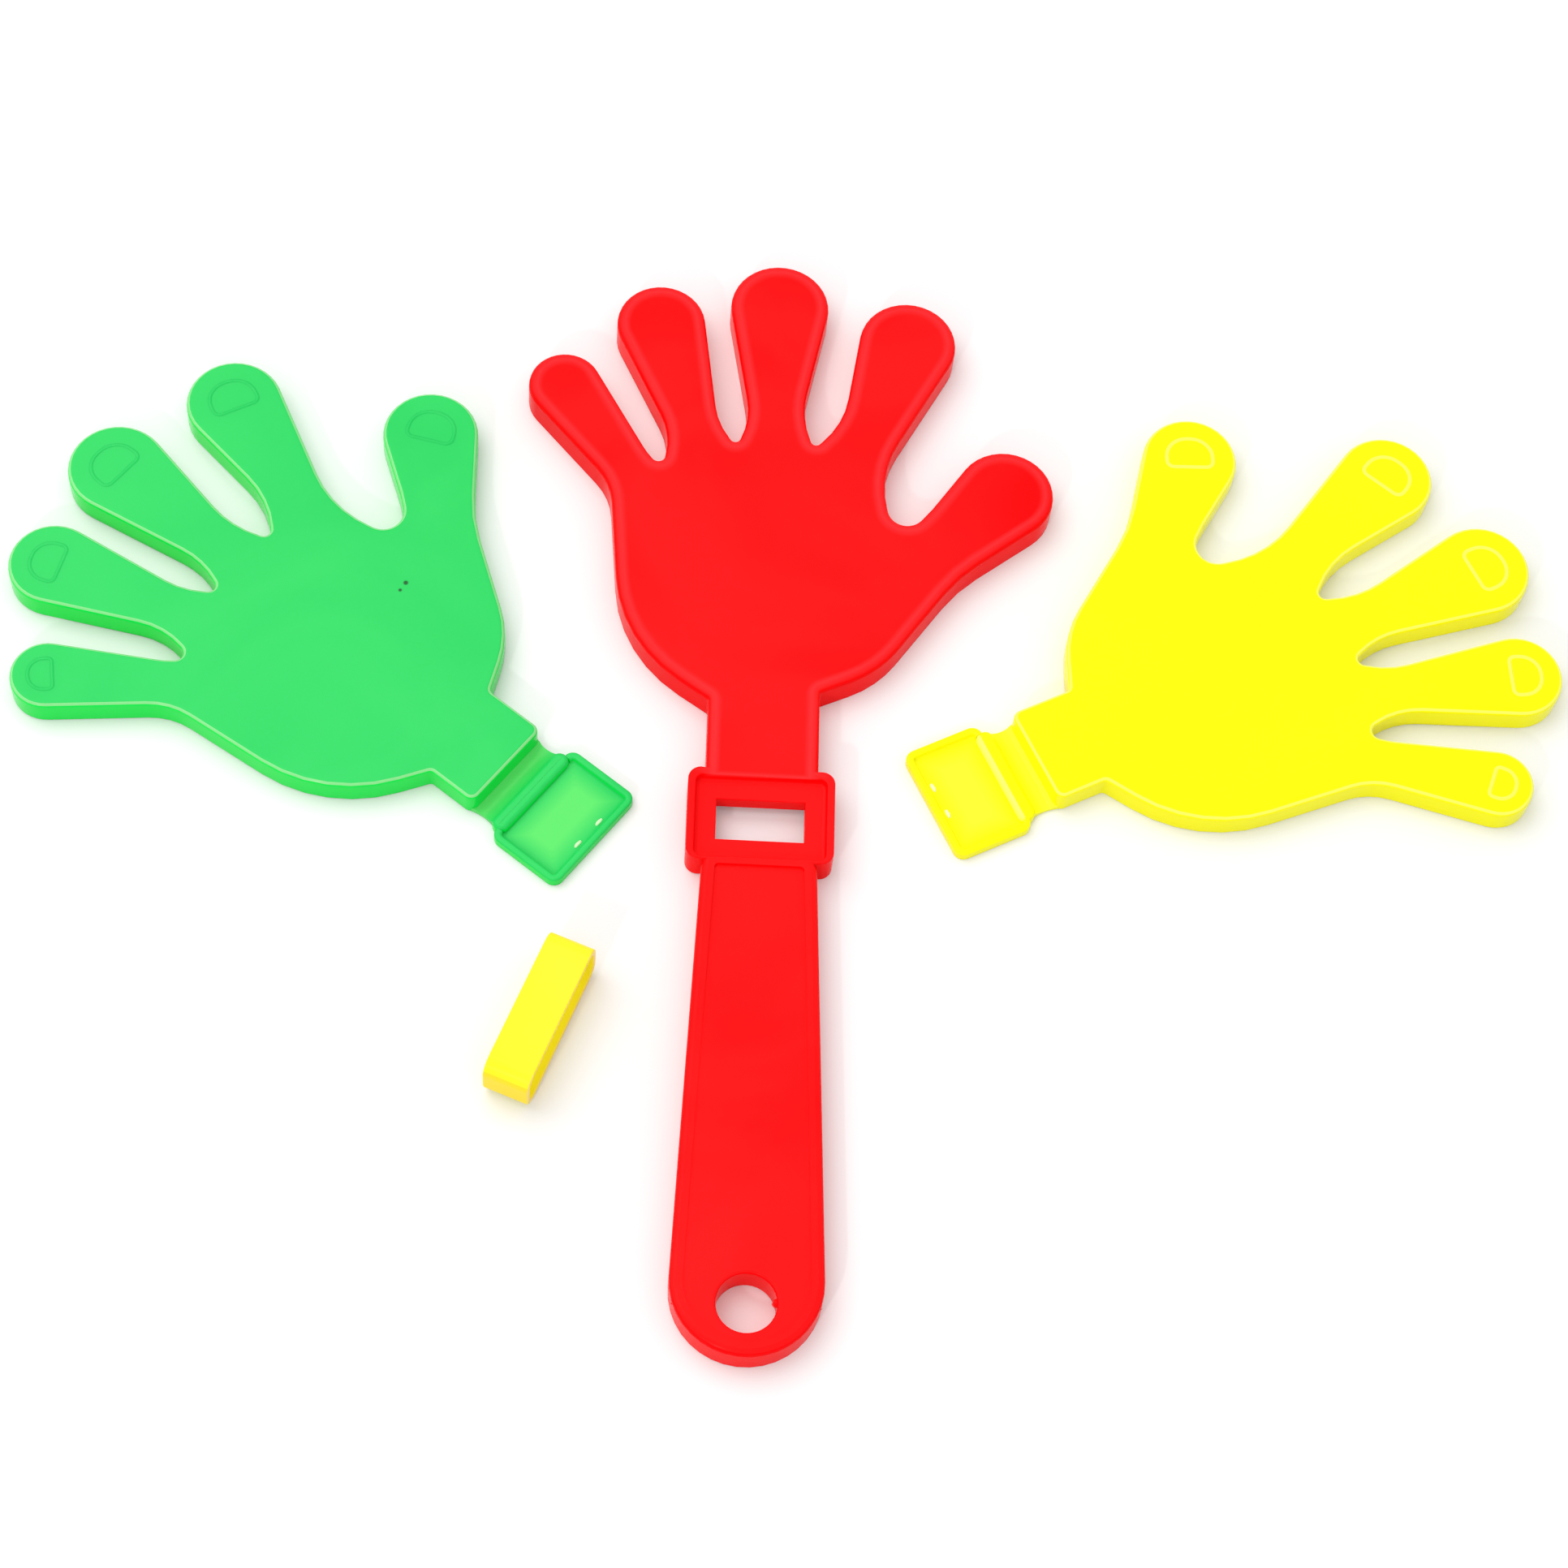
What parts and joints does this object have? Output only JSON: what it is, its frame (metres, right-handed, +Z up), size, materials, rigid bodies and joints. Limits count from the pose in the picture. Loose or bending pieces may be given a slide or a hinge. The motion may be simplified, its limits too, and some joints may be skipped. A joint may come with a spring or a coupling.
{
  "type": "hand clapper",
  "caption": "Plastic hand clapper laid out in its loose pieces: centre hand with handle, mirrored outer hands on living hinges, and the clamp band that ties them together.",
  "frame": {"origin": "centre of the hang hole, on the plane that the pieces lie on", "axes": "+Z up out of the plane, +Y along the handle towards the fingers, +X towards the centre hand's thumb"},
  "size_m": [0.3682, 0.2809, 0.0132],
  "materials": {
    "red_plastic": "gloss",
    "green_plastic": "gloss",
    "yellow_plastic": "gloss",
    "band_plastic": "gloss"
  },
  "bodies": {
    "centre": {"centre_hand": "red_plastic"},
    "green_base": {"green_tongue": "green_plastic", "green_hinge": "green_plastic"},
    "green_leaf": {"green_hand": "green_plastic"},
    "yellow_base": {"yellow_tongue": "yellow_plastic", "yellow_hinge": "yellow_plastic"},
    "yellow_leaf": {"yellow_hand": "yellow_plastic"},
    "band": {"clamp_band": "band_plastic"}
  },
  "joints": [
    {"name": "green_lift", "type": "slide", "parent": "centre", "child": "green_base", "axis": [0, 0, 1], "range_m": [0, 0.03]},
    {"name": "green_flex", "type": "hinge", "parent": "green_base", "child": "green_leaf", "pos_m": [-0.0565, 0.126, 0.001], "axis": [0.6018, 0.7986, 0], "range_deg": [0, 90]},
    {"name": "yellow_lift", "type": "slide", "parent": "centre", "child": "yellow_base", "axis": [0, 0, 1], "range_m": [0, 0.03]},
    {"name": "yellow_flex", "type": "hinge", "parent": "yellow_base", "child": "yellow_leaf", "pos_m": [0.061, 0.1355, 0.001], "axis": [0.454, -0.891, 0], "range_deg": [0, 90]},
    {"name": "band_lift", "type": "slide", "parent": "centre", "child": "band", "axis": [0, 0, 1], "range_m": [0, 0.03]}
  ]
}
